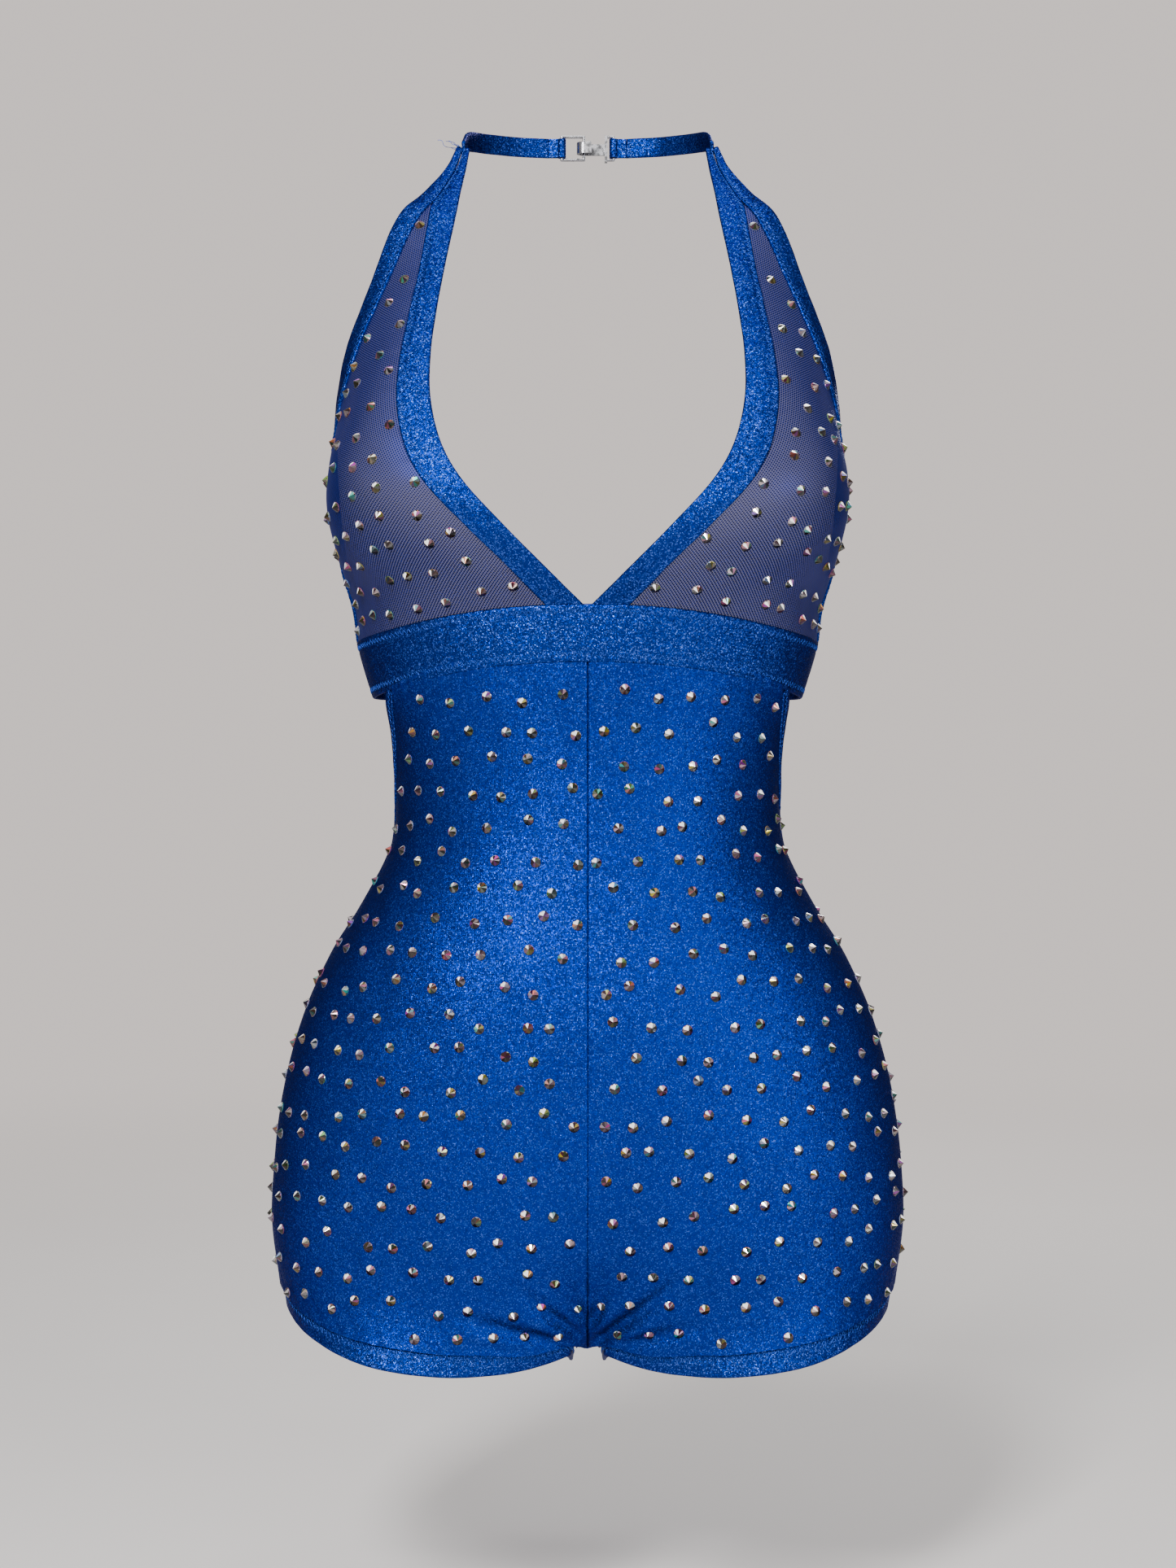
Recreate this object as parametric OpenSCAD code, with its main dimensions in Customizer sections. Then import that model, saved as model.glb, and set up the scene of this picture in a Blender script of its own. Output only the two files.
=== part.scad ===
// Halter leotard with a plunging neckline, sheer cups, an underbust band,
// open sides and back, and short legs, in the shape it takes when worn.
// Millimetres. +Z is up and the front of the garment faces -Y.

/* [Body shape] */
// Half width of the garment at the hips
hip_half_width = 162.3; // [150:0.1:175]
// Half width of the garment at the waist
waist_half_width = 99.3; // [92:0.1:108]
// Half width of the ribs just above the underbust band
rib_half_width = 122; // [114:0.1:128]
// Half width of the gap between the two leg openings
thigh_gap = 6.5; // [5:0.1:9]

/* [Cloth] */
// Thickness of the foil-printed stretch cloth
cloth = 1; // [0.8:0.1:1.3]
// Thickness of the sheer net in the cups
net = 0.6; // [0.4:0.1:0.9]
// Thickness of a folded binding, band or hem
folded = 2; // [1.6:0.1:2.4]
// Clear space left along every seam
seam = 0.3; // [0.2:0.05:0.5]

/* [Edges] */
// Width of the binding along the neckline
neck_binding = 13.5; // [11:0.1:15]
// Width of the binding along the armhole
arm_binding = 12; // [10:0.1:13]
// Width of the binding round the side and back openings
waist_binding = 6; // [5:0.1:8]
// Depth of the hem round each leg
hem_depth = 11; // [9:0.1:13]
// Depth of that hem along the inside of the thigh
inner_hem_depth = 6; // [5:0.1:7]

/* [Crystals] */
// Diameter of one crystal
crystal_d = 5; // [4.4:0.1:5.4]
// Height of a crystal's pointed crown
crystal_h = 2.2; // [1.8:0.1:2.6]
// Usual distance from one crystal to the next
crystal_pitch = 18; // [16:0.5:24]
// How far a crystal may stray from the regular pattern
crystal_stray = 4; // [0:0.1:5]

/* [Neck clasp] */
// Diameter of the wire of the ring
wire_d = 1.6; // [1.4:0.1:2]
// Distance from the ring's hinge bar to its far bar
ring_reach = 12; // [11:0.5:14]
// Height of the strap end that each metal part holds
strap_h = 10; // [9:0.5:11]
// Running clearance round the ring's hinge bar
bar_gap = 0.06; // [0.04:0.01:0.09]

/* [Hidden] */

// Colours
BLUE = [0.05, 0.22, 0.62];
BAND_BLUE = [0.06, 0.18, 0.52];
NET_BLUE = [0.16, 0.2, 0.45];
LINING = [0.08, 0.12, 0.3];
ELASTIC = [0.1, 0.16, 0.4];
METAL = [0.75, 0.75, 0.78];
CRYSTAL = [0.9, 0.85, 0.8];

// Moves the whole garment so that its origin is the middle of its underside
SET_DOWN = [0, -5.3, -1.24];

// Roundness of the cross-sections: 1 is an ellipse and less is squarer
ROUND = 0.92;
// Angle round the body, from the front middle, at which front and back are sewn
SIDE = 91;
// Angle round the body at which the hem leaves the crotch seam
CROTCH_ANGLE = 5;
// Height at which the thighs start to part, and height of the crotch
PARTING = 100;
CROTCH = 28;
// Angle on each thigh's own outline where the crotch seam lies
THIGH_TURN = 55;
// Angle over which the cloth bridges from the crotch seam onto the thigh
BRIDGE = 30;

// Body outline: height, half width, depth of the front, depth of the back
function below_waist(k) = waist_half_width + k * (hip_half_width - waist_half_width);
function above_waist(k) = waist_half_width + k * (rib_half_width - waist_half_width);
LEVELS = [
    [0, below_waist(0.8), 78, 88],
    [24, below_waist(0.87), 81, 96],
    [50, below_waist(0.93), 84, 106],
    [84, below_waist(1), 90, 116],
    [110, below_waist(0.99), 93, 118],
    [140, below_waist(0.94), 94.5, 115],
    [170, below_waist(0.845), 95, 109],
    [200, below_waist(0.69), 94, 100],
    [227, below_waist(0.48), 91, 91],
    [250, below_waist(0.25), 88, 84],
    [280, below_waist(0.02), 85.5, 77],
    [310, above_waist(0), 85, 74],
    [335, above_waist(0.16), 86, 74.5],
    [352, above_waist(0.45), 87.5, 76],
    [381, above_waist(0.83), 90, 78],
    [400, above_waist(1), 91.5, 79]
];

// Height of the lower edge of the leg hem, by angle round the body
LEG_EDGE = [
    [0, 28], [5, 24.5], [15, 20.2], [26, 20.4], [38, 23.5], [51, 27.5], [67, 35],
    [90, 45], [110, 40], [130, 27.5], [150, 13], [165, 4.5], [175, 1.5], [180, 12]
];

// Edge of the side and back opening, as angle round the body and height
OPENING = [
    [65.5, 354.2], [73.5, 337.5], [79, 321], [85.5, 303], [90.5, 290], [95, 280],
    [101, 270], [108, 262], [122, 249], [140, 235], [160, 223], [180, 217]
];

// Halter cup and strap, row by row from the underbust band to the neck: inner
// edge, outer edge, and how far the row swells near each of them
CUP_ROWS = [
    [[24, -103, 416], [120.5, 1, 396], 44, 40],
    [[43, -109, 435], [123.5, -6, 414], 50, 42],
    [[60, -108.5, 454], [126, -14, 436], 52, 40],
    [[70.5, -101, 473], [127.5, -24, 460], 44, 32],
    [[76, -90, 496], [127, -35, 485], 30, 20],
    [[76.5, -78, 519], [124, -42, 510], 18, 12],
    [[74.5, -66, 541], [119, -43, 531], 10, 8],
    [[71, -51, 567], [110.5, -39, 555], 6, 5],
    [[66.5, -31, 596], [97, -28, 594], 3, 3],
    [[64.5, -20, 611], [84, -17, 610], 1.5, 1.5],
    [[62.5, -8, 624], [73, -7, 625], 0.5, 0.5],
    [[61, 3, 637], [68, 3, 638], 0, 0]
];
// Where the net of the cup ends, as a share of the way up those rows
NET_TOP = 0.775;

// Middle line of the strap behind the neck, from the shoulder to the clasp
NECK_LINE = [
    [64, 4.5, 639], [62, 21, 645.5], [53, 42, 649.5], [38, 56.5, 651.5], [21.6, 62, 652]
];
// Middle of the neck clasp
CLASP = [0, 62, 652];
// Distance of each strap loop's bar from the middle of the clasp
BAR_OUT = 14;
// Width of the hook's tongue, thickness of its metal and its throat
TONGUE = 6;
PLATE = 1.4;
THROAT = 5;

// ---------- Curves ----------

function mix(a, b, t) = a + (b - a) * t;
function clamp(x, low, high) = min(max(x, low), high);
function unit(v) = v / norm(v);
function power(x, p) = sign(x) * pow(abs(x), p);
function ease(t) = let (c = clamp(t, 0, 1)) c * c * (3 - 2 * c);

// Smooth curve through evenly weighted points, with t from 0 to 1
function spline(points, t) =
    let (last = len(points) - 1,
         at = clamp(t, 0, 1) * last,
         i = min(floor(at), last - 1),
         f = at - i,
         a = points[max(i - 1, 0)],
         b = points[i],
         c = points[i + 1],
         d = points[min(i + 2, last)],
         start = (c - a) * (i == 0 ? 1 : 0.5),
         end = (d - b) * (i + 2 > last ? 1 : 0.5))
    b + f * start
      + f * f * (3 * (c - b) - 2 * start - end)
      + f * f * f * (start + end - 2 * (c - b));

// Slope of one column of a table at row i, against its first column
function slope(table, column, i) =
    let (low = max(i - 1, 0), high = min(i + 1, len(table) - 1))
    (table[high][column] - table[low][column]) / (table[high][0] - table[low][0]);

// Smooth value of one column of a table, looked up by its first column
function smooth_lookup(table, column, x, i = 0) =
    i < len(table) - 2 && x > table[i + 1][0]
        ? smooth_lookup(table, column, x, i + 1)
        : let (span = table[i + 1][0] - table[i][0],
               f = (x - table[i][0]) / span,
               a = table[i][column],
               b = table[i + 1][column],
               start = slope(table, column, i) * span,
               end = slope(table, column, i + 1) * span)
          a + f * start
            + f * f * (3 * (b - a) - 2 * start - end)
            + f * f * f * (start + end - 2 * (b - a));

// ---------- Body surface ----------

// Closed torso outline, at an angle from 0 in front to 180 behind
function torso(angle, z) =
    let (depth = smooth_lookup(LEVELS, angle < 90 ? 2 : 3, z))
    [smooth_lookup(LEVELS, 1, z) * power(sin(angle), ROUND),
     -depth * power(cos(angle), ROUND), z];

// Outline of one thigh over the same angles, left open towards the crotch
function thigh(angle, z) =
    let (half = smooth_lookup(LEVELS, 1, z),
         front = smooth_lookup(LEVELS, 2, z),
         back = smooth_lookup(LEVELS, 3, z),
         turn = mix(-THIGH_TURN, 180 + THIGH_TURN, angle / 180))
    [(half + thigh_gap) / 2 + (half - thigh_gap) / 2 * power(sin(turn), ROUND),
     (back - front) / 2 - (back + front) / 2 * power(cos(turn), ROUND), z];

// Outer surface of the worn garment for the wearer's left half (x above 0)
function body(angle, z) =
    let (part = clamp((PARTING - z) / (PARTING - CROTCH), 0, 1.15),
         share = part * part,
         t = torso(angle, z),
         leg = thigh(angle, z),
         from_seam = min(angle, 180 - angle),
         inward = thigh(0, z)[0] * (1 - ease(from_seam / BRIDGE)))
    [mix(t[0], leg[0] - inward, min(share, 1)), mix(t[1], leg[1], share), z];

// The same surface for both halves: a negative angle is the other side
function round_body(angle, z) =
    let (p = body(abs(angle), z)) [sign(angle) * p[0], p[1], z];

function band_low(angle) = 353 + 15 * pow(max(cos(angle), 0), 2.2)
    + 3 * pow(max(-cos(angle), 0), 2);
function band_high(angle) = 381.5 + 14 * pow(max(cos(angle), 0), 2.5)
    - 5 * pow(max(-cos(angle), 0), 2);
function leg_edge(angle) = smooth_lookup(LEG_EDGE, 1, angle);
function hem_height(angle) =
    mix(inner_hem_depth, hem_depth, ease((min(angle, 180 - angle) - CROTCH_ANGLE) / 18));
function hem_top(angle) = leg_edge(angle) + hem_height(angle);

// Where a panel ends above the leg: at the hem, or at the crotch seam. It keeps
// clear of the thick corner of the hem beside that seam.
CORNER_CLEAR = 2;
function panel_end(angle) =
    let (from_seam = min(angle, 180 - angle),
         corner = ease(1 - abs(from_seam - CROTCH_ANGLE) / 7),
         at_hem = hem_top(angle < 90 ? max(angle, CROTCH_ANGLE)
                                     : min(angle, 180 - CROTCH_ANGLE)))
    mix(leg_edge(angle < 90 ? 0 : 180), at_hem, ease(from_seam / CROTCH_ANGLE))
        + seam + CORNER_CLEAR * corner;

// Point beside the opening's edge, d into the cloth: angle and height
function beside_opening(t, d) =
    let (p = spline(OPENING, t),
         way = spline(OPENING, t + 0.01) - spline(OPENING, t - 0.01),
         per_degree = norm(body(p[0] + 0.5, p[1]) - body(p[0] - 0.5, p[1])),
         along = unit([way[0] * per_degree, way[1]]))
    [p[0] + along[1] * d / per_degree, p[1] - along[0] * d];

// ---------- Thick sheets ----------

function normal_at(rows, j, i, ring) =
    let (m = len(rows) - 1,
         n = len(rows[0]),
         left = ring ? rows[j][(i + n - 1) % n] : rows[j][max(i - 1, 0)],
         right = ring ? rows[j][(i + 1) % n] : rows[j][min(i + 1, n - 1)],
         up = rows[max(j - 1, 0)][i],
         down = rows[min(j + 1, m)][i])
    unit(cross(down - up, right - left));

// Solid sheet of a given thickness behind a grid of surface points. Rows run
// downwards, and each row runs from the front round to the back. A ring closes
// on itself along each row. A point never crosses the middle plane by itself.
module sheet(rows, wall, lift = 0, ring = false, half = false) {
    m = len(rows);
    n = len(rows[0]);
    function side(p) = half ? [max(p[0], seam / 2), p[1], p[2]] : p;
    normals = [for (j = [0:m - 1]) [for (i = [0:n - 1]) normal_at(rows, j, i, ring)]];
    outer = [for (j = [0:m - 1]) for (i = [0:n - 1])
        side(rows[j][i] + lift * normals[j][i])];
    inner = [for (j = [0:m - 1]) for (i = [0:n - 1])
        side(rows[j][i] + (lift - wall) * normals[j][i])];
    cells = ring ? n : n - 1;
    depth = m * n;
    function at(j, i) = j * n + i % n;
    faces = [
        for (j = [0:m - 2]) for (i = [0:cells - 1])
            each [[at(j, i), at(j, i + 1), at(j + 1, i + 1)],
                  [at(j, i), at(j + 1, i + 1), at(j + 1, i)],
                  [depth + at(j, i), depth + at(j + 1, i + 1), depth + at(j, i + 1)],
                  [depth + at(j, i), depth + at(j + 1, i), depth + at(j + 1, i + 1)]],
        for (i = [0:cells - 1])
            each [[at(0, i), depth + at(0, i), depth + at(0, i + 1)],
                  [at(0, i), depth + at(0, i + 1), at(0, i + 1)],
                  [at(m - 1, i), at(m - 1, i + 1), depth + at(m - 1, i + 1)],
                  [at(m - 1, i), depth + at(m - 1, i + 1), depth + at(m - 1, i)]],
        if (!ring) for (j = [0:m - 2])
            each [[at(j, 0), at(j + 1, 0), depth + at(j + 1, 0)],
                  [at(j, 0), depth + at(j + 1, 0), depth + at(j, 0)],
                  [at(j + 1, n - 1), at(j, n - 1), depth + at(j, n - 1)],
                  [at(j + 1, n - 1), depth + at(j, n - 1), depth + at(j + 1, n - 1)]]
    ];
    polyhedron(points = concat(outer, inner), faces = faces, convexity = 8);
}

// Grid of points f(u, v) with u along each row and v from row to row
function steps(n) = [for (k = [0:n]) k / n];

module set_down() { translate(SET_DOWN) children(); }
module other_side() { mirror([1, 0, 0]) children(); }

// ---------- Panels ----------

// Inner corner of the side opening, as a share of the way round its edge
PANEL_EDGE = waist_binding + 1.6 * seam;
EDGE_SHARES = [for (t = steps(60)) [beside_opening(t, PANEL_EDGE)[0], t]];
SIDE_SHARE = lookup(SIDE, EDGE_SHARES);
// Share of the front panel's height that runs beside the opening
OPEN_SHARE = 0.25;

function front_limit(v) =
    v < OPEN_SHARE
        ? beside_opening(mix(0, SIDE_SHARE, v / OPEN_SHARE), PANEL_EDGE)
        : let (corner = beside_opening(SIDE_SHARE, PANEL_EDGE),
               f = (v - OPEN_SHARE) / (1 - OPEN_SHARE))
          [mix(corner[0], SIDE, min(f * 8, 1)) - 0.1, mix(corner[1], panel_end(SIDE), f)];
function front_point(u, v) =
    let (limit = front_limit(v),
         top = front_limit(0)[0] * u,
         end = SIDE * u,
         plain = mix(band_low(top) - seam, panel_end(end), v),
         off = limit[1] - mix(band_low(front_limit(0)[0]) - seam, panel_end(SIDE), v))
    body(limit[0] * u, plain + off * u * u);

module front_panel() {
    color(BLUE) set_down()
        sheet([for (v = steps(24)) [for (u = steps(13)) front_point(u, v)]],
              cloth, half = true);
}

function back_point(u, v) =
    let (top = beside_opening(mix(SIDE_SHARE, 1, u), PANEL_EDGE),
         end = mix(SIDE, 180, u))
    body(mix(top[0], end, v) + 0.2 * (1 - u), mix(top[1], panel_end(end), v));

module back_panel() {
    color(BLUE) set_down()
        sheet([for (v = steps(17)) [for (u = steps(15)) back_point(u, v)]],
              cloth, half = true);
}

module band(from, to, count, low, high, wall, lift) {
    set_down()
        sheet([for (v = [0, 0.5, 1]) [for (u = steps(count))
                  let (angle = mix(from, to, u))
                  round_body(angle, mix(band_high(angle) - high,
                                        band_low(angle) + low, v))]],
              wall, lift);
}

// Elastic loop inside the band, all the way round
module underbust_elastic() {
    inset = 5;
    color(ELASTIC) set_down()
        sheet([for (v = [0, 1])
                  [for (k = [0:63])
                      let (turn = k * 360 / 64, angle = turn > 180 ? turn - 360 : turn)
                      round_body(angle, mix(band_high(angle) - inset,
                                            band_low(angle) + inset, v))]],
              0.8, 0.2 - folded, ring = true);
}

// ---------- Cups and straps ----------

// One row of the cup, from the neckline at s = 0 to the armhole at s = 1
function cup_row(k, s) =
    k < 0
        ? let (angle = mix(1, 93, s)) body(angle, band_high(angle) + seam)
        : let (row = CUP_ROWS[k],
               chord = row[1] - row[0],
               out = unit([-chord[1], chord[0], 0]) * -1,
               a = row[0] + chord / 3 + out * row[2],
               b = row[0] + chord * 2 / 3 + out * row[3],
               r = 1 - s)
          r * r * r * row[0] + 3 * r * r * s * a + 3 * r * s * s * b
            + s * s * s * row[1];
function cup(s, t) = spline([for (k = [-1:len(CUP_ROWS) - 1]) cup_row(k, s)], t);
function cup_width(t) =
    let (line = [for (s = steps(8)) cup(s, t)])
    [for (i = 0, total = 0; i < 8; total = total + norm(line[i + 1] - line[i]), i = i + 1)
        total + norm(line[i + 1] - line[i])][7];
function neck_share(t) = let (w = cup_width(t)) min(neck_binding, w / 2 - seam / 2) / w;
function arm_share(t) = let (w = cup_width(t)) min(arm_binding, w / 2 - seam / 2) / w;

module cup_piece(top, rows, columns, wall, lift) {
    set_down()
        sheet([for (v = steps(rows))
                  let (t = top * (1 - v),
                       w = cup_width(t),
                       inner = neck_share(t) + seam / w,
                       outer = 1 - arm_share(t) - seam / w)
                  [for (u = steps(columns)) cup(mix(inner, outer, u), t)]],
              wall, lift, half = true);
}
module mesh_cup() { color(NET_BLUE) cup_piece(NET_TOP, 22, 12, net, -0.5); }

module neckline_binding() {
    color(BAND_BLUE) set_down()
        sheet([for (v = steps(36)) let (t = 1 - v, w = neck_share(t))
                  [for (u = [0, 0.5, 1]) cup(w * u, t)]],
              folded, 0.5, half = true);
}
module armhole_binding() {
    color(BAND_BLUE) set_down()
        sheet([for (v = steps(34)) let (t = 1 - v, w = arm_share(t))
                  [for (u = [0, 0.5, 1]) cup(1 - w * (1 - u), t)]],
              folded, 0.5);
}
module waist_binding() {
    color(BAND_BLUE) set_down()
        sheet([for (d = [0, 0.5, 1])
                  [for (t = steps(46))
                      let (p = beside_opening(t, waist_binding * d)) body(p[0], p[1])]],
              folded, 0.5, half = true);
}

// ---------- Legs and crotch ----------

// Middle line of the crotch, from front to back
function crotch_line(v) = spline([
    body(0, leg_edge(0)), [0, -18, 26], [0, 12, 19.5], [0, 42, 13], body(180, leg_edge(180))
], v);
// Lower edge of the hem along the inside of the thigh, from front to back
function inner_edge(v, rise) =
    let (front = body(CROTCH_ANGLE, leg_edge(CROTCH_ANGLE) + rise),
         back = body(180 - CROTCH_ANGLE, leg_edge(180 - CROTCH_ANGLE) + rise),
         x = thigh_gap - rise * 0.15)
    spline([front, [x, -24, 18.5 + rise], [x, 6, 10.5 + rise], [x, 36, 3.5 + rise], back], v);

// Ring of points round one leg opening, a share up from its lower edge
OUTER_STEPS = 44;
INNER_STEPS = 14;
function leg_ring(share) = concat(
    [for (k = [0:OUTER_STEPS])
        let (angle = mix(CROTCH_ANGLE, 180 - CROTCH_ANGLE, k / OUTER_STEPS))
        body(angle, leg_edge(angle) + hem_height(angle) * share)],
    [for (k = [1:INNER_STEPS - 1])
        inner_edge(1 - k / INNER_STEPS, inner_hem_depth * share)]);

module leg_hem() {
    color(BAND_BLUE) set_down()
        sheet([leg_ring(1), leg_ring(0.5), leg_ring(0)], folded, 0.5, ring = true);
}
module leg_elastic() {
    color(ELASTIC) set_down()
        sheet([leg_ring(0.8), leg_ring(0.25)], 0.8, -0.4 - folded, ring = true);
}

// Saddle of cloth between the legs: u runs across it and v from front to back
function gusset_point(u, v) =
    let (side = inner_edge(v, inner_hem_depth + 2 * seam),
         middle = crotch_line(v),
         turn = u * 90)
    [side[0] * sin(turn), mix(middle[1], side[1], pow(sin(turn), 2)),
     mix(side[2], middle[2], cos(turn))];
module saddle(from, to, rows, columns, reach, wall, lift) {
    set_down()
        sheet([for (k = [0:rows]) let (v = mix(from, to, k / rows))
                  [for (j = [0:columns]) gusset_point(mix(-reach, reach, j / columns), v)]],
              wall, lift);
}

// ---------- Neck straps and clasp ----------

NECK_MIDDLE = [0, 8, 0];
function neck_strap_point(t, u) =
    let (p = spline(NECK_LINE, t),
         way = unit(spline(NECK_LINE, t + 0.02) - spline(NECK_LINE, t - 0.02)),
         outward = unit([p[0], p[1] - NECK_MIDDLE[1], 0]),
         up = unit(cross(way, outward)) * -1,
         height = mix(7, strap_h, ease(t * 3)))
    p + up * height * (0.5 - u);
module neck_strap() {
    color(BAND_BLUE) set_down()
        sheet([for (u = [0, 0.5, 1]) [for (t = steps(14)) neck_strap_point(t, u)]],
              folded, folded / 2);
}

// Loop of strap sewn round a bar that stands at the local origin
module neck_loop() {
    color(BAND_BLUE) set_down()
        translate(CLASP + [BAR_OUT, 0, -strap_h / 2])
        linear_extrude(strap_h)
        difference() {
            union() {
                circle(d = wire_d + 3, $fn = 48);
                translate([0, -folded / 2]) square([7, folded]);
            }
            circle(d = wire_d + 2 * bar_gap, $fn = 48);
        }
}

module wire(from, to) {
    way = to - from;
    translate(from)
        rotate([0, acos(way[2] / norm(way)), atan2(way[1], way[0])])
        cylinder(d = wire_d, h = norm(way), $fn = 32);
}

// Rectangular ring that hangs on the wearer's right strap and swings in its loop
module neck_ring() {
    half = strap_h / 2 + wire_d * 0.75;
    corners = [[-BAR_OUT, 0, -half], [-BAR_OUT, 0, half],
               [ring_reach - BAR_OUT, 0, half], [ring_reach - BAR_OUT, 0, -half]];
    color(METAL) set_down() translate(CLASP) {
        for (k = [0:3]) {
            wire(corners[k], corners[(k + 1) % 4]);
            translate(corners[k]) sphere(d = wire_d, $fn = 32);
        }
    }
}

// Flat hook on the wearer's left strap: its tongue passes behind the ring's far
// bar, turns round it and comes back on the other side
module neck_hook() {
    half = strap_h / 2 + wire_d * 0.75;
    turn_x = ring_reach - BAR_OUT;
    cross_x = BAR_OUT - 3.4;
    color(METAL) set_down() translate(CLASP) {
        translate([0, 0, -TONGUE / 2]) linear_extrude(TONGUE) {
            translate([turn_x, 0]) intersection() {
                difference() {
                    circle(d = THROAT + 2 * PLATE, $fn = 64);
                    circle(d = THROAT, $fn = 64);
                }
                translate([-THROAT, -THROAT]) square([THROAT, 2 * THROAT]);
            }
            translate([turn_x - 0.01, THROAT / 2]) square([cross_x - turn_x, PLATE]);
            translate([turn_x - 0.01, -THROAT / 2 - PLATE]) square([4, PLATE]);
        }
        translate([cross_x - PLATE, -wire_d / 2, -half - wire_d / 2])
            cube([PLATE, THROAT / 2 + PLATE + wire_d / 2, 2 * half + wire_d]);
        for (z = [-half, half]) {
            wire([cross_x - PLATE / 2, 0, z], [BAR_OUT, 0, z]);
            translate([BAR_OUT, 0, z]) sphere(d = wire_d, $fn = 32);
        }
        wire([BAR_OUT, 0, -half], [BAR_OUT, 0, half]);
    }
}

// ---------- Crystals ----------

// Height of a crystal's straight rim, and half width of its blunt tip
GIRDLE = 0.4;
TIP = 0.25;
// Glue under a crystal, and clear cloth between a crystal and the edges
GLUE_GAP = 0.15;
EDGE_CLEAR = 4;
// Reach, as angle and height, over which a crystal bridges a hollow in the cloth
BRIDGE_ANGLE = 4;
BRIDGE_HEIGHT = 7.5;
// Share of that hollow by which the crystal is lifted
HOLLOW_CLEAR = 1.5;
// Further lift below a height, where the cloth draws in towards the crotch
DRAWN_TOP = 80;
DRAWN_LIFT = 0.5;

// Pointed crystal standing on a surface point, with its point along n
module crystal(p, n) {
    translate(p + n * GLUE_GAP)
        rotate([0, acos(n[2]), atan2(n[1], n[0])])
        rotate_extrude($fn = 24)
        polygon([[0, 0], [crystal_d / 2, 0], [crystal_d / 2, GIRDLE],
                 [TIP, GIRDLE + crystal_h], [0, GIRDLE + crystal_h]]);
}

OPENING_TOP = [for (t = steps(40)) beside_opening(t, PANEL_EDGE + EDGE_CLEAR)];
function body_normal(angle, z) =
    unit(cross(body(angle, z - 1) - body(angle, z + 1),
               body(angle + 1, z) - body(angle - 1, z)));
// How far a crystal is lifted to clear the cloth round it, where the cloth is hollow
function hollow(angle, z, n) =
    let (p = body(angle, z),
         round = (body(angle + BRIDGE_ANGLE, z) + body(abs(angle - BRIDGE_ANGLE), z)) / 2 - p,
         tall = (body(angle, z + BRIDGE_HEIGHT) + body(angle, z - BRIDGE_HEIGHT)) / 2 - p)
    (max(round * n, 0) + max(tall * n, 0)) * HOLLOW_CLEAR + (z < DRAWN_TOP ? DRAWN_LIFT : 0);
function on_panel(angle, z) =
    z < band_low(angle) - EDGE_CLEAR
        && (angle < OPENING_TOP[0][0] - 1 || z < lookup(angle, OPENING_TOP))
        && z > panel_end(angle) + EDGE_CLEAR - 1;

// Places, as [angle, height], of the crystals between two angles: staggered
// rows, each measured along the cloth, with every place moved a little
function panel_spots(from, to, seed) =
    let (row_gap = crystal_pitch * 0.87,
         strays = rands(-crystal_stray, crystal_stray, 2000, seed),
         margin = crystal_d * 0.7)
    [for (j = [0:23])
        let (z = 22 + j * row_gap,
             line = [for (k = [0:30]) body(mix(from, to, k / 30), z)],
             lengths = [for (k = 0, run = 0; k < 31;
                             k = k + 1,
                             run = run + (k < 31 ? norm(line[k] - line[k - 1]) : 0))
                           [run, mix(from, to, k / 30)]],
             full = lengths[30][0])
        for (i = [0:floor(full / crystal_pitch)])
            let (run = (i + (j % 2 == 0 ? 0.3 : 0.8)) * crystal_pitch
                           + strays[j * 40 + 2 * i],
                 angle = lookup(run, lengths),
                 height = z + strays[j * 40 + 2 * i + 1])
            if (run > margin && run < full - margin && on_panel(angle, height))
                [angle, height]];

module panel_crystals(from, to, seed) {
    color(CRYSTAL) set_down()
        for (spot = panel_spots(from, to, seed)) {
            n = body_normal(spot[0], spot[1]);
            crystal(body(spot[0], spot[1]) + n * hollow(spot[0], spot[1], n), n);
        }
}

// The same on the cup, in rows up its own length
module cup_crystals(seed) {
    strays = rands(-crystal_stray, crystal_stray, 1000, seed);
    rise = [for (t = steps(40)) cup(0.5, t * NET_TOP)];
    heights = [for (k = 0, run = 0; k < 41;
                    k = k + 1, run = run + (k < 41 ? norm(rise[k] - rise[k - 1]) : 0))
                  [run, k / 40 * NET_TOP]];
    edge = crystal_d / 2 + 1.2;
    color(CRYSTAL) set_down()
        for (j = [0:floor(heights[40][0] / (crystal_pitch * 0.87)) - 1]) {
            t = lookup(8 + j * crystal_pitch * 0.87, heights);
            w = cup_width(t);
            from = neck_share(t) * w + edge;
            to = w - arm_share(t) * w - edge;
            for (i = [0:max(floor((to - from) / crystal_pitch), 0)]) {
                run = from + (i + (j % 2 == 0 ? 0.15 : 0.6)) * crystal_pitch
                    + strays[j * 20 + 2 * i];
                s = clamp(run, from, max(to, from)) / w;
                up = clamp(t + strays[j * 20 + 2 * i + 1] / 400, 0.025, NET_TOP);
                if (run < to + crystal_stray && to > from)
                    crystal(cup(s, up) , cup_normal(s, up));
            }
        }
}
function cup_normal(s, t) =
    unit(cross(cup(s, t - 0.004) - cup(s, t + 0.004), cup(s + 0.01, t) - cup(s - 0.01, t)));

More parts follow.
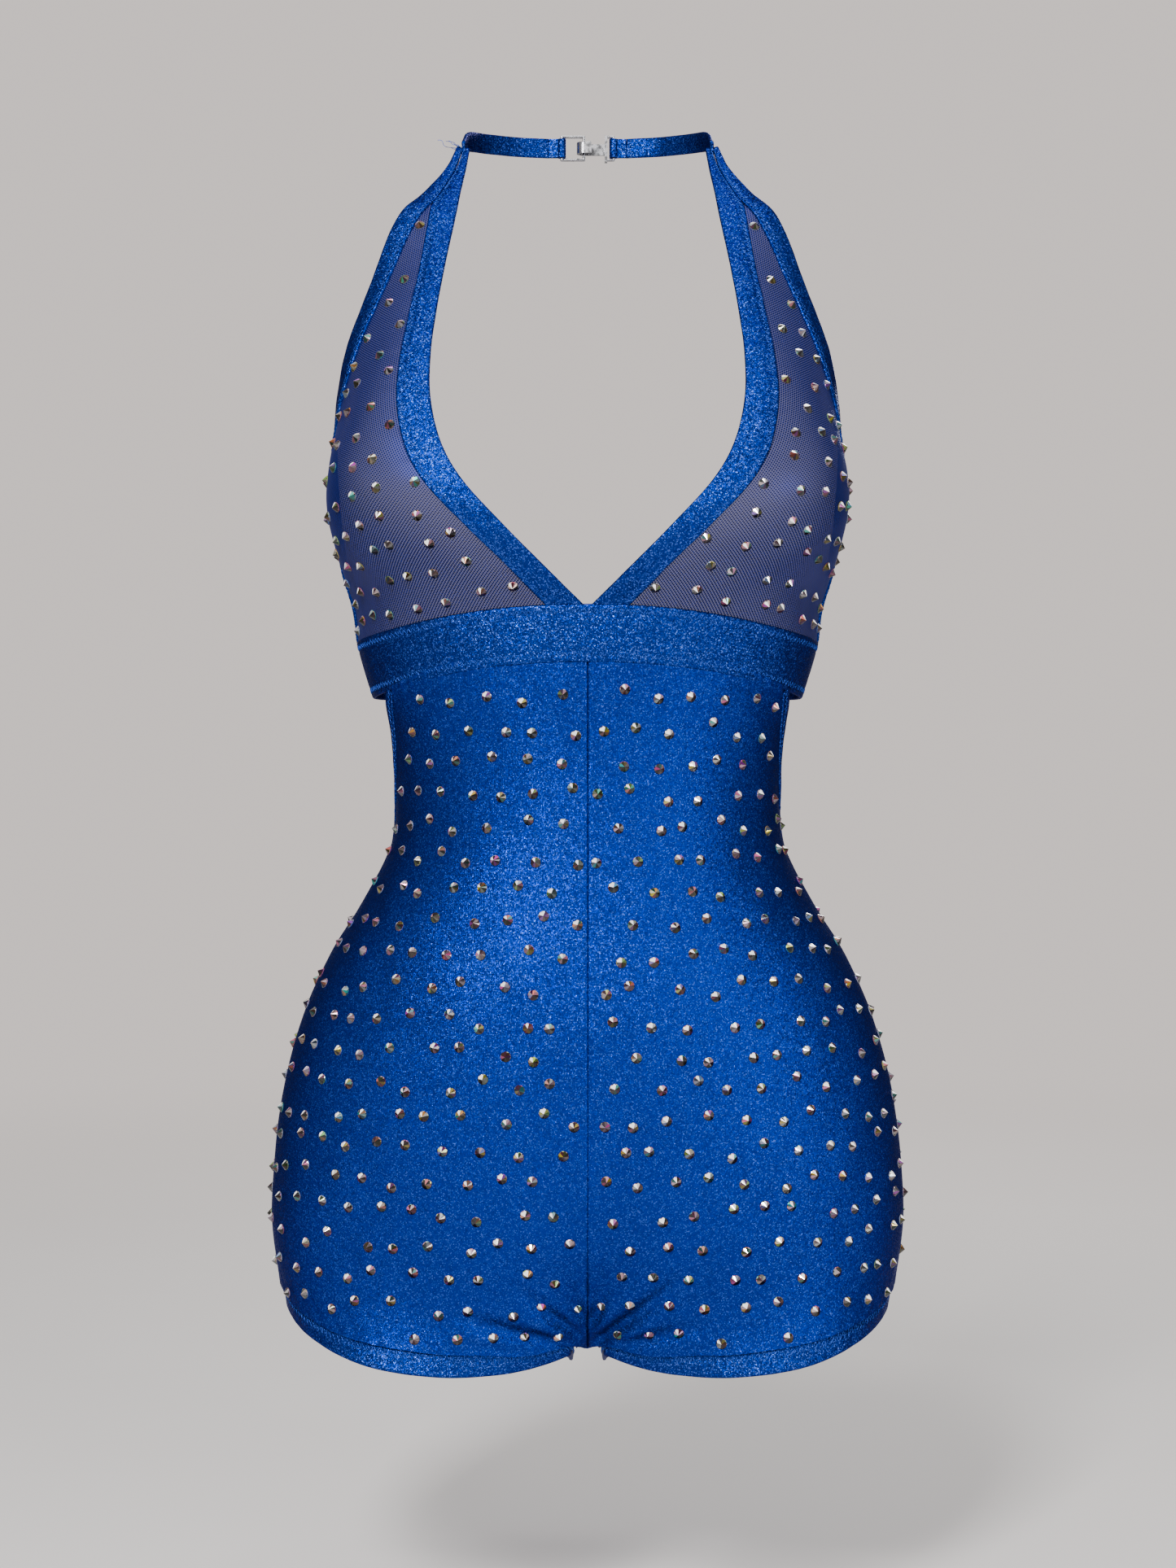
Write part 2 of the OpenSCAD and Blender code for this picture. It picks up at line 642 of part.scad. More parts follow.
front_panel();  // front_panel_left
other_side() front_panel();  // front_panel_right
back_panel();  // back_panel_left
other_side() back_panel();  // back_panel_right
color(BLUE) saddle(0.065, 0.96, 12, 10, 0.97, cloth, 0);  // crotch_gusset
color(LINING) saddle(0.1, 0.9, 10, 6, 0.8, net, -cloth - 0.2);  // gusset_lining
color(BAND_BLUE) band(-92, 92, 34, 0, 0, folded, 0.5);  // underbust_band_front
color(BAND_BLUE) band(92.3, 267.7, 30, 0, 0, folded, 0.5);  // underbust_band_back
underbust_elastic();
mesh_cup();  // mesh_cup_left
other_side() mesh_cup();  // mesh_cup_right
neckline_binding();  // neckline_binding_left
other_side() neckline_binding();  // neckline_binding_right
armhole_binding();  // armhole_binding_left
other_side() armhole_binding();  // armhole_binding_right
waist_binding();  // waist_binding_left
other_side() waist_binding();  // waist_binding_right
leg_hem();  // leg_hem_left
other_side() leg_hem();  // leg_hem_right
leg_elastic();  // leg_elastic_left
other_side() leg_elastic();  // leg_elastic_right
neck_strap();  // neck_strap_left
other_side() neck_strap();  // neck_strap_right
neck_loop();  // neck_loop_left
other_side() neck_loop();  // neck_loop_right
neck_hook();
neck_ring();
cup_crystals(11);  // crystals_cup_left
other_side() cup_crystals(12);  // crystals_cup_right
panel_crystals(0, SIDE, 21);  // crystals_front_left
other_side() panel_crystals(0, SIDE, 22);  // crystals_front_right
panel_crystals(SIDE, 180, 31);  // crystals_back_left
other_side() panel_crystals(SIDE, 180, 32);  // crystals_back_right
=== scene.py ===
"""Halter leotard: smooth cloth, net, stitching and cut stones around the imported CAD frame."""

import math

import bmesh
import bpy
import numpy as np
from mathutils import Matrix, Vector
from mathutils.bvhtree import BVHTree


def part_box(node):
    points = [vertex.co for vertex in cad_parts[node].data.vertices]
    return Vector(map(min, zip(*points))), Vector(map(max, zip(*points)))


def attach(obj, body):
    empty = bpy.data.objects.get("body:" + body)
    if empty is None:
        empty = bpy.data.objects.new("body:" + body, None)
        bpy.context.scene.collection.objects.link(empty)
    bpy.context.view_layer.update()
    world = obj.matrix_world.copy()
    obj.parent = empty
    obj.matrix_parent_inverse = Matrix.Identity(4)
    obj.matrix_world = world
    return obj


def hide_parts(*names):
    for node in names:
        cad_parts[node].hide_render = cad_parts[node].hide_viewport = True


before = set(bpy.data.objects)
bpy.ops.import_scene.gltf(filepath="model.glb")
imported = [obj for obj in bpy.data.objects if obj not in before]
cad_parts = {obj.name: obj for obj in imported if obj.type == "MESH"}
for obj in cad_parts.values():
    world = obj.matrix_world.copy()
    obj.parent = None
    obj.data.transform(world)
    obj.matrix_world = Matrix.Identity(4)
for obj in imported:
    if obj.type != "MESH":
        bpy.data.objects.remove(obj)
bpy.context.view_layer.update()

MM = 0.001
UP, FRONT = np.array([0, 0, 1.0]), np.array([0, -1.0, 0])
# The edges of a sheet bend more, and its face less, than the first of these that fits
CORNERS = np.radians([66, 58, 74, 50, 82, 42])
SAME_PLACE = 0.02 * MM
SHIFT = -5.3 * MM             # the body's own middle, front to back, in the frame
random = np.random.default_rng(7)
cloth_under = {}              # built cloth by region and side, for the stones to sit on


# ---------- Reading the CAD sheets ----------

def joined_mesh(node):
    """A CAD node's mesh with its shared corners joined."""
    mesh = bmesh.new()
    mesh.from_mesh(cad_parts[node].data)
    bmesh.ops.remove_doubles(mesh, verts=mesh.verts, dist=SAME_PLACE)
    bmesh.ops.triangulate(mesh, faces=[f for f in mesh.faces if len(f.verts) > 3])
    mesh.normal_update()
    mesh.verts.index_update()
    return mesh


def smooth_patches(mesh, corner):
    """Groups of faces that join each other without a corner between them."""
    left, patches = set(mesh.faces), []
    while left:
        waiting = [left.pop()]
        patch = list(waiting)
        while waiting:
            for edge in waiting.pop().edges:
                if len(edge.link_faces) != 2 or edge.calc_face_angle() > corner:
                    continue
                for face in edge.link_faces:
                    if face in left:
                        left.remove(face)
                        patch.append(face)
                        waiting.append(face)
        patches.append(patch)
    return patches


def outwardness(points, normals, ring):
    """How far normals point away from the middle of the body, or of their own ring."""
    if ring:
        middle = points.mean(0)
    else:
        middle = np.array([0, SHIFT, 0]) + UP * np.maximum(points[:, 2:], 100 * MM)
    return float(((points - middle) * normals).sum())


def outer_face(mesh, cells, ring):
    """The patch of 2 x cells triangles that faces outwards."""
    for corner in CORNERS:
        found = [p for p in smooth_patches(mesh, corner) if len(p) == 2 * cells]
        if found:
            break
    else:
        raise ValueError("this CAD sheet is not the grid it was taken for")

    def measure(patch):
        centres = np.array([f.calc_center_median() for f in patch])
        normals = np.array([f.normal * f.calc_area() for f in patch])
        return outwardness(centres, normals, ring)
    return max(found, key=measure)


def rim_paths(third):
    """The next corner each way round, for every corner on the rim of a patch."""
    neighbours = {}
    for edge, thirds in third.items():
        if len(thirds) == 1:
            a, b = tuple(edge)
            neighbours.setdefault(a, []).append(b)
            neighbours.setdefault(b, []).append(a)
    return neighbours


def walk(rim, start, towards, stop):
    """Corners along the rim from start until stop() holds."""
    path = [start, towards]
    while not stop(path):
        path.append(next(v for v in rim[path[-1]] if v != path[-2]))
    return path


def grid_of(node, rows, columns, start=UP, ring=False):
    """The points on the outer face of a CAD sheet, as rows of columns. Each cell is cut
    from its first corner to its last, and the first corner lies farthest along start."""
    mesh = joined_mesh(node)
    cells = (rows - 1) * (columns if ring else columns - 1)
    triangles = [tuple(v.index for v in f.verts) for f in outer_face(mesh, cells, ring)]
    corners_at = np.array([v.co for v in mesh.verts])
    mesh.free()
    third, uses = {}, {}
    for a, b, c in triangles:
        for edge, other in (((a, b), c), ((b, c), a), ((c, a), b)):
            third.setdefault(frozenset(edge), []).append(other)
        for v in (a, b, c):
            uses[v] = uses.get(v, 0) + 1
    rim = rim_paths(third)
    if ring:
        first = max(sorted(rim), key=lambda v: (corners_at[v] @ start).round(6))
        top = walk(rim, first, min(rim[first]), lambda p: p[-1] == first)[:-1]
    else:
        corners = [v for v in sorted(rim) if uses[v] == 2]
        first = max(corners, key=lambda v: corners_at[v] @ start)
        sides = [walk(rim, first, v, lambda p: uses[p[-1]] == 1) for v in rim[first]]
        top = next(s for s in sides if len(s) == columns)
    return corners_at[follow_rows(top, third, corners_at, rows, ring)]


def follow_rows(top, third, corners_at, rows, ring):
    """Corner numbers row by row, found from the row above."""

    def apart(a, b):
        return np.linalg.norm(corners_at[a] - corners_at[b])
    grid, used = [top], set(top)
    while len(grid) < rows:
        upper, n = grid[-1], len(top)
        pairs = [(upper[i], upper[(i + 1) % n]) for i in range(n if ring else n - 1)]
        below = [next(v for v in third[frozenset(p)] if v not in used) for p in pairs]
        if ring:
            ahead = sum(apart(v, b) for v, (_, b) in zip(below, pairs))
            behind = sum(apart(v, a) for v, (a, _) in zip(below, pairs))
            lower = below[-1:] + below[:-1] if ahead < behind else below
        else:
            first = next(v for v in third[frozenset((upper[0], below[0]))]
                         if v not in used and v != upper[1])
            lower = [first] + below
        grid.append(lower)
        used.update(lower)
    return np.array(grid)


# ---------- Smooth surfaces ----------

def spline_weights(count, at):
    """Weights that read a smooth curve through count even knots at the places at."""
    bend, pull = np.eye(count), np.zeros((count, count))
    for k in range(1, count - 1):
        bend[k, k - 1:k + 2] = 1, 4, 1
        pull[k, k - 1:k + 2] = 6, -12, 6
    curve, knots = np.linalg.solve(bend, pull), np.eye(count)
    i = np.clip(at.astype(int), 0, count - 2)
    f = (at - i)[:, None]
    return ((1 - f) * knots[i] + f * knots[i + 1]
            + ((1 - f) ** 3 - (1 - f)) / 6 * curve[i] + (f ** 3 - f) / 6 * curve[i + 1])


def finer(grid, row_places, column_places, ring=False):
    """The smooth surface through a grid, read at the given places in rows and columns."""
    pad = 4 if ring else 0
    if ring:
        grid = np.concatenate([grid[:, -pad:], grid, grid[:, :pad]], axis=1)
    across = spline_weights(grid.shape[0], row_places)
    along = spline_weights(grid.shape[1], column_places + pad)
    return np.einsum("aj,bi,jik->abk", across, along, grid)


def slopes(grid, axis, ring=False):
    """Step from point to point along one axis of a grid."""
    if ring and axis == 1:
        return np.roll(grid, -1, 1) - np.roll(grid, 1, 1)
    return np.gradient(grid, axis=axis)


def normals_of(grid, ring=False):
    """Unit normals of a grid, pointing out of the garment."""
    n = np.cross(slopes(grid, 0), slopes(grid, 1, ring))
    n /= np.maximum(np.linalg.norm(n, axis=2, keepdims=True), 1e-12)
    return n if outwardness(grid.reshape(-1, 3), n.reshape(-1, 3), ring) > 0 else -n


def run_along(grid, axis):
    """Distance from the first point, along one axis of a grid."""
    step = np.linalg.norm(np.diff(grid, axis=axis), axis=2)
    start = np.zeros_like(np.take(step, [0], axis=axis))
    return np.cumsum(np.concatenate([start, step], axis=axis), axis=axis)


def read(grid, a, b):
    """Points of a grid at fractional rows a and columns b."""
    i = np.clip(a.astype(int), 0, grid.shape[0] - 2)
    j = np.clip(b.astype(int), 0, grid.shape[1] - 2)
    f, g = (a - i)[:, None], (b - j)[:, None]
    return ((1 - f) * ((1 - g) * grid[i, j] + g * grid[i, j + 1])
            + f * ((1 - g) * grid[i + 1, j] + g * grid[i + 1, j + 1]))


def waves(x, seed, length, count=5):
    """Gentle uneven waves along x, about one unit high, the longest of the given length."""
    own = np.random.default_rng(seed)
    total = np.zeros_like(x)
    for k in range(count):
        total += np.sin(x * 2 * math.pi / length * (1 + 0.63 * k) + own.uniform(0, 6.28)) / (1 + k)
    return total / 1.6


# ---------- Mesh parts ----------
# A part is a dict: points, faces, one flat coordinate in metres per point, and a
# material. Several parts make one piece.

def shell(outer, inner, material, ring=False):
    """Closed skin between two grids of points. A ring's last column meets its first."""
    if ring:
        outer = np.concatenate([outer, outer[:, :1]], axis=1)
        inner = np.concatenate([inner, inner[:, :1]], axis=1)
    rows, columns = outer.shape[:2]
    at = np.arange(rows * columns).reshape(rows, columns)
    under = at + at.size

    def between(a, b, c, d):
        return np.stack([a.ravel(), b.ravel(), c.ravel(), d.ravel()], axis=1)
    faces = [between(at[:-1, :-1], at[:-1, 1:], at[1:, 1:], at[1:, :-1]),
             between(under[:-1, :-1], under[1:, :-1], under[1:, 1:], under[:-1, 1:]),
             between(at[0, 1:], at[0, :-1], under[0, :-1], under[0, 1:]),
             between(at[-1, :-1], at[-1, 1:], under[-1, 1:], under[-1, :-1])]
    if not ring:
        faces += [between(at[:-1, 0], at[1:, 0], under[1:, 0], under[:-1, 0]),
                  between(at[1:, -1], at[:-1, -1], under[:-1, -1], under[1:, -1])]
    flat = np.stack([run_along(outer, 1), run_along(outer, 0)], axis=2).reshape(-1, 2)
    return {"points": np.concatenate([outer.reshape(-1, 3), inner.reshape(-1, 3)]),
            "faces": np.concatenate(faces), "flat": np.concatenate([flat, flat]),
            "material": material, "smooth": True}


def tube(paths, radius, material, sides=6):
    """Round threads along many paths, given as an array of paths x points x 3."""
    ways = np.gradient(paths, axis=1)
    ways /= np.maximum(np.linalg.norm(ways, axis=2, keepdims=True), 1e-12)
    aside = np.cross(ways, UP)
    aside[np.linalg.norm(aside, axis=2) < 0.1] = (1, 0, 0)
    aside /= np.linalg.norm(aside, axis=2, keepdims=True)
    above = np.cross(aside, ways)
    turn = np.arange(sides) * 2 * math.pi / sides
    rings = (paths[:, :, None] + radius * (np.cos(turn)[:, None] * aside[:, :, None]
                                           + np.sin(turn)[:, None] * above[:, :, None]))
    count, length = paths.shape[:2]
    at = np.arange(count * length * sides).reshape(count, length, sides)
    a, b = at[:, :-1], at[:, 1:]
    quads = np.stack([a, np.roll(a, -1, 2), np.roll(b, -1, 2), b], axis=-1).reshape(-1, 4)
    ends = [np.stack([end[:, 0], end[:, k], end[:, k + 1], end[:, k + 2]], axis=1)
            for end in (at[:, 0], at[:, -1]) for k in range(1, sides - 2, 2)]
    points = rings.reshape(-1, 3)
    return {"points": points, "faces": np.concatenate([quads] + ends),
            "flat": points[:, [0, 2]], "material": material, "smooth": True}


def build(name, parts, node=None):
    """One riding piece made of parts, standing for a CAD node."""
    mesh = bpy.data.meshes.new(name)
    points, faces, flat, marks, smooth = [], [], [], [], []
    start = 0
    for k, part in enumerate(parts):
        points.append(part["points"])
        faces.append(part["faces"] + start)
        flat.append(part["flat"])
        marks += [k] * len(part["faces"])
        smooth += [part["smooth"]] * len(part["faces"])
        start += len(part["points"])
        mesh.materials.append(part["material"])
    points, faces, flat = map(np.concatenate, (points, faces, flat))
    mesh.from_pydata(points.tolist(), [], [list(dict.fromkeys(f)) for f in faces.tolist()])
    mesh.polygons.foreach_set("material_index", marks)
    mesh.polygons.foreach_set("use_smooth", smooth)
    corner = np.zeros(len(mesh.loops), int)
    mesh.loops.foreach_get("vertex_index", corner)
    layer = mesh.uv_layers.new(name="cloth")
    layer.data.foreach_set("uv", flat[corner].astype(np.float32).ravel())
    tidy = bmesh.new()
    tidy.from_mesh(mesh)
    bmesh.ops.remove_doubles(tidy, verts=tidy.verts, dist=0.002 * MM)
    bmesh.ops.dissolve_degenerate(tidy, edges=tidy.edges, dist=0.0005 * MM)
    bmesh.ops.recalc_face_normals(tidy, faces=tidy.faces)
    tidy.to_mesh(mesh)
    tidy.free()
    put_in_scene(name, mesh, node)


def put_in_scene(name, mesh, node):
    """Puts a mesh in the scene, on the garment and in its CAD node's stead."""
    made = bpy.data.objects.new(name, mesh)
    bpy.context.scene.collection.objects.link(made)
    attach(made, "garment")
    if node:
        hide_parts(node)


# ---------- Shading helpers ----------

def add(tree, kind, inputs=(), **settings):
    """A shader node with its settings and its inputs, given as values or as outputs."""
    made = tree.nodes.new(kind)
    for key, value in settings.items():
        setattr(made, key, value)
    for key, value in dict(inputs).items():
        if isinstance(value, bpy.types.NodeSocket):
            tree.links.new(value, made.inputs[key])
        else:
            made.inputs[key].default_value = value
    return made


def number(tree, operation, a, b=0.5, clamp=False):
    return add(tree, "ShaderNodeMath", {0: a, 1: b}, operation=operation,
               use_clamp=clamp).outputs[0]


def remap(tree, value, low, high, out_low=0.0, out_high=1.0):
    """Value taken smoothly from one range to another."""
    return add(tree, "ShaderNodeMapRange",
               {"Value": value, "From Min": low, "From Max": high,
                "To Min": out_low, "To Max": out_high},
               interpolation_type="SMOOTHSTEP").outputs[0]


def mixed(tree, share, a, b, blend="MIX"):
    made = add(tree, "ShaderNodeMix", data_type="RGBA", blend_type=blend)
    for socket, value in ((made.inputs[0], share), (made.inputs[6], a), (made.inputs[7], b)):
        if isinstance(value, bpy.types.NodeSocket):
            tree.links.new(value, socket)
        else:
            socket.default_value = value
    return made.outputs[2]


def new_material(name):
    material = bpy.data.materials.new(name)
    material.use_nodes = True
    tree = material.node_tree
    return material, tree, tree.nodes["Principled BSDF"]


def connect(tree, surface, inputs):
    for key, value in inputs.items():
        if isinstance(value, bpy.types.NodeSocket):
            tree.links.new(value, surface.inputs[key])
        else:
            surface.inputs[key].default_value = value


def flat_coordinates(tree):
    return add(tree, "ShaderNodeUVMap", uv_map="cloth").outputs[0]


def knit(tree, pitch):
    """Height of a fine rib knit, from crossed waves of one stitch's pitch."""
    flat = flat_coordinates(tree)
    scale = math.pi / 10 / pitch
    ribs = add(tree, "ShaderNodeTexWave", {"Vector": flat, "Scale": scale, "Distortion": 0.6,
                                           "Detail": 1}, bands_direction="X").outputs[1]
    rows = add(tree, "ShaderNodeTexWave", {"Vector": flat, "Scale": scale * 1.3,
                                           "Distortion": 0.6, "Detail": 1},
               bands_direction="Y").outputs[1]
    return number(tree, "MULTIPLY", ribs, rows)


def leaning(tree, flakes, glitter, bump):
    """The bumped normal of cloth, tipped a little its own way at every foil flake."""
    lean = add(tree, "ShaderNodeVectorMath", {0: flakes["Color"], 1: (0.5, 0.5, 0.5)},
               operation="SUBTRACT").outputs[0]
    lean = add(tree, "ShaderNodeVectorMath", {0: lean, "Scale": 0.55 * glitter},
               operation="SCALE").outputs[0]
    tipped = add(tree, "ShaderNodeVectorMath", {0: bump, 1: lean}, operation="ADD").outputs[0]
    return add(tree, "ShaderNodeVectorMath", {0: tipped}, operation="NORMALIZE").outputs[0]


def glitter_cloth(name, dark, middle, bright, glitter, pitch=0.75 * MM, rough=0.40):
    """Stretch knit printed with tiny foil flakes that each lean their own way. Its colour holds
    painted shade, darker towards its grazing sides and in the knit's hollows, and the flakes
    are painted brighter where the cloth faces the camera, as a painted glint.
    """
    material, tree, surface = new_material(name)
    where = add(tree, "ShaderNodeTexCoord").outputs["Object"]
    flakes = add(tree, "ShaderNodeTexVoronoi", {"Vector": where, "Scale": 1.6 / MM}).outputs
    specks = add(tree, "ShaderNodeTexVoronoi", {"Vector": where, "Scale": 1.9 / MM}).outputs
    height = knit(tree, pitch)
    broad = add(tree, "ShaderNodeTexNoise", {"Vector": where, "Scale": 9.0,
                                             "Detail": 4}).outputs[0]
    grain = add(tree, "ShaderNodeTexNoise", {"Vector": where, "Scale": 0.45 / MM,
                                             "Detail": 3}).outputs[0]
    bump = add(tree, "ShaderNodeBump", {"Height": height, "Strength": 0.4,
                                        "Distance": 0.12 * MM}).outputs[0]
    normal = leaning(tree, flakes, glitter, bump)
    facing = add(tree, "ShaderNodeLayerWeight", {"Blend": 0.34}).outputs["Facing"]
    # Painted shade: the colour darkens from middle to dark as the cloth turns away towards its
    # grazing sides.
    colour = mixed(tree, remap(tree, facing, 0.02, 0.62), middle, dark)
    colour = mixed(tree, remap(tree, broad, 0.35, 0.7, 0.0, 0.3), colour, dark)
    colour = mixed(tree, remap(tree, grain, 0.4, 0.75, 0.0, 0.35), colour, dark)
    # Painted shade in the hollows of the knit: its low parts are darkened.
    colour = mixed(tree, remap(tree, height, 0.0, 1.0, 0.2, 0.0), colour, dark)
    # Foil flake specks in the bright colour: printed flakes, painted stronger where the cloth
    # faces the camera and faint at its grazing sides, as a painted glint.
    speck = number(tree, "MULTIPLY", remap(tree, specks["Color"], 0.6, 0.95), glitter * 0.6)
    seen = remap(tree, facing, 0.1, 0.75, 1.0, 0.12)
    colour = mixed(tree, number(tree, "MULTIPLY", speck, seen), colour, bright)
    shine = remap(tree, flakes["Color"], 0.2, 0.9, rough + 0.08, rough - 0.12)
    connect(tree, surface, {"Base Color": colour, "Metallic": 0.8, "Roughness": shine,
                            "Normal": normal, "Specular Tint": (0.02, 0.06, 0.36, 1),
                            "Specular IOR Level": 0.15})
    return material


def stripes(tree, flat, turn, pitch):
    """Soft stripes one pitch apart, turned in the plane of the cloth."""
    turned = add(tree, "ShaderNodeMapping", {"Vector": flat, "Rotation": (0, 0, turn)}).outputs[0]
    return add(tree, "ShaderNodeTexWave", {"Vector": turned, "Scale": math.pi / 10 / pitch},
               bands_direction="X").outputs[1]


def net_cloth(name, colour, light, pitch=1.15 * MM):
    """Fine see-through power net: staggered round holes between soft threads."""
    material, tree, surface = new_material(name)
    flat = flat_coordinates(tree)
    sets = [stripes(tree, flat, k * math.pi / 3, pitch) for k in range(3)]
    thread = number(tree, "ADD", number(tree, "ADD", sets[0], sets[1]), sets[2])
    solid = remap(tree, thread, 0.8, 1.7, 1.0, 0.0)
    facing = add(tree, "ShaderNodeLayerWeight", {"Blend": 0.4}).outputs["Facing"]
    cover = number(tree, "ADD", number(tree, "MULTIPLY", solid, 0.42), 0.52)
    cover = number(tree, "ADD", cover, number(tree, "MULTIPLY", facing, 0.5), clamp=True)
    shade = mixed(tree, solid, light, colour)
    bump = add(tree, "ShaderNodeBump", {"Height": solid, "Strength": 0.5,
                                        "Distance": 0.15 * MM}).outputs[0]
    connect(tree, surface, {"Base Color": shade, "Roughness": 0.42, "Alpha": cover,
                            "Normal": bump, "Sheen Weight": 0.15, "Sheen Roughness": 0.35,
                            "Sheen Tint": light, "Metallic": 0.5,
                            "Specular Tint": (0.1, 0.15, 0.5, 1)})
    return material


def thread_material(name, dark, bright):
    material, tree, surface = new_material(name)
    where = add(tree, "ShaderNodeTexCoord").outputs["Object"]
    twist = add(tree, "ShaderNodeTexNoise", {"Vector": where, "Scale": 1.6 / MM}).outputs[0]
    colour = mixed(tree, remap(tree, twist, 0.35, 0.65), dark, bright)
    bump = add(tree, "ShaderNodeBump", {"Height": twist, "Strength": 0.5,
                                        "Distance": 0.1 * MM}).outputs[0]
    connect(tree, surface, {"Base Color": colour, "Roughness": 0.42, "Normal": bump,
                            "Metallic": 0.5, "Specular IOR Level": 0.3,
                            "Specular Tint": (0.1, 0.2, 0.7, 1)})
    return material


def ribbed(name, dark, light, pitch, rough=0.7):
    """Woven elastic or plain lining: ribs along the piece and a soft matt face, with painted
    shade in the rib hollows and painted highlight on the rib tops.
    """
    material, tree, surface = new_material(name)
    height = knit(tree, pitch)
    # Painted shade and highlight: the colour follows the rib height, dark in the hollows and light
    # on the tops.
    colour = mixed(tree, height, dark, light)
    bump = add(tree, "ShaderNodeBump", {"Height": height, "Strength": 0.8,
                                        "Distance": 0.3 * MM}).outputs[0]
    connect(tree, surface, {"Base Color": colour, "Roughness": rough, "Normal": bump,
                            "Sheen Weight": 0.3})
    return material


def bright_metal(name):
    material, tree, surface = new_material(name)
    where = add(tree, "ShaderNodeTexCoord").outputs["Object"]
    wear = add(tree, "ShaderNodeTexNoise", {"Vector": where, "Scale": 0.4 / MM,
                                            "Detail": 6}).outputs[0]
    fine = add(tree, "ShaderNodeTexNoise", {"Vector": where, "Scale": 3 / MM}).outputs[0]
    bump = add(tree, "ShaderNodeBump", {"Height": fine, "Strength": 0.15,
                                        "Distance": 0.05 * MM}).outputs[0]
    colour = mixed(tree, remap(tree, wear, 0.45, 0.7), (0.50, 0.50, 0.52, 1),
                   (0.28, 0.27, 0.28, 1))
    connect(tree, surface, {"Base Color": colour, "Metallic": 1.0, "Normal": bump,
                            "Roughness": remap(tree, wear, 0.3, 0.75, 0.14, 0.38)})
    return material


def cut_glass(name):
    """Foil-backed glass whose facets carry their own coating tint with painted light and shade,
    set facet by facet, and a painted glow.
    """
    material, tree, surface = new_material(name)
    own = add(tree, "ShaderNodeAttribute", attribute_name="tint_and_painted_light").outputs
    tint_and_painted_light, glow = own["Color"], own["Alpha"]
    where = add(tree, "ShaderNodeTexCoord").outputs["Object"]
    film = add(tree, "ShaderNodeTexNoise", {"Vector": where, "Scale": 0.5 / MM}).outputs[1]
    colour = mixed(tree, 0.3, tint_and_painted_light, film, "OVERLAY")
    # The base colour holds the facets' painted highlights and shade, and the emission is a painted
    # glow.
    connect(tree, surface, {"Base Color": colour, "Metallic": 0.55, "Roughness": 0.12,
                            "Specular Tint": tint_and_painted_light, "Coat Weight": 0.6,
                            "Coat Roughness": 0.03, "Emission Color": colour,
                            "Emission Strength": glow})
    return material


# Knit colours: dark is painted shade on the grazing sides and in the knit hollows as well as a
# random darker tone; middle is the face-on colour; bright is the foil flakes with their painted
# glint.
BODY = glitter_cloth("foil_knit", (0.0, 0.009, 0.11, 1), (0.0, 0.025, 0.31, 1),
                     (0.10, 0.22, 0.85, 1), 0.7)
BAND = glitter_cloth("foil_knit_band", (0.0, 0.009, 0.11, 1), (0.0, 0.024, 0.25, 1),
                     (0.13, 0.27, 0.95, 1), 1.0, rough=0.36)
NET = net_cloth("power_net", (0.002, 0.005, 0.05, 1), (0.01, 0.02, 0.19, 1))
THREAD = thread_material("blue_thread", (0.002, 0.012, 0.14, 1), (0.05, 0.14, 0.60, 1))
# Dark and light here are the painted shade in the rib hollows and the painted highlight on the rib
# tops.
LINING = ribbed("lining_knit", (0.01, 0.02, 0.09, 1), (0.02, 0.04, 0.17, 1), 0.6 * MM)
ELASTIC = ribbed("woven_elastic", (0.01, 0.02, 0.11, 1), (0.03, 0.06, 0.28, 1), 1.4 * MM)
METAL = bright_metal("bright_plate")
STONE = cut_glass("cut_glass")


# ---------- Cloth with wrinkles ----------

# Folds that spread from the crotch over the front: start and end as distance
# to the wearer's left and height above the hem, then half width and depth
FOLDS = [
    ((4, 31), (50, 72), 3.4, 4.2), ((6, 28), (58, 45), 3.6, 3.4), ((2, 40), (15, 84), 2.6, 2.0),
    ((-3, 34), (-38, 66), 2.8, 2.6), ((-6, 29), (-66, 50), 3.6, 4.2),
    ((-1, 42), (-15, 78), 2.4, 1.6), ((-9, 27), (-60, 34), 2.4, 2.0),
]


def fold_depth(points):
    """How far the crotch folds draw the front in at each point."""
    flat = points[..., [0, 2]] / MM
    total = np.zeros(points.shape[:-1])
    for start, end, width, depth in FOLDS:
        start, way = np.array(start, float), np.array(end, float) - start
        along = np.clip(((flat - start) @ way) / (way @ way), 0, 1)
        off = np.linalg.norm(flat - start - along[..., None] * way, axis=-1)
        shape = np.exp(-(off / width) ** 2) - 0.45 * np.exp(-((off - 2 * width) / width) ** 2)
        total += depth * shape * (1 - along) ** 0.7 * np.minimum(along * 8 + 0.3, 1)
    front = np.clip((SHIFT - points[..., 1]) / (15 * MM), 0, 1)
    return total * front * MM


def edge_places(count, samples, knot_gap, before, after):
    """Even places over count knots and a little beyond, with more of them at both ends."""
    low, high = -before / knot_gap, count - 1 + after / knot_gap
    near = np.array([0.2, 0.45, 0.75, 1.1, 1.5, 2.0]) * MM / knot_gap
    even = np.linspace(low, high, samples)
    return np.unique(np.concatenate([even, low + near, high - near]).round(5))


def seam_roll(gap, radius=1.9 * MM, depth=1.2 * MM):
    """Depth of a cloth edge turned in towards a seam, from the distance to it."""
    near = np.clip(1 - gap / radius, 0, 1)
    return depth * (1 - np.sqrt(np.maximum(1 - near ** 2, 0)))


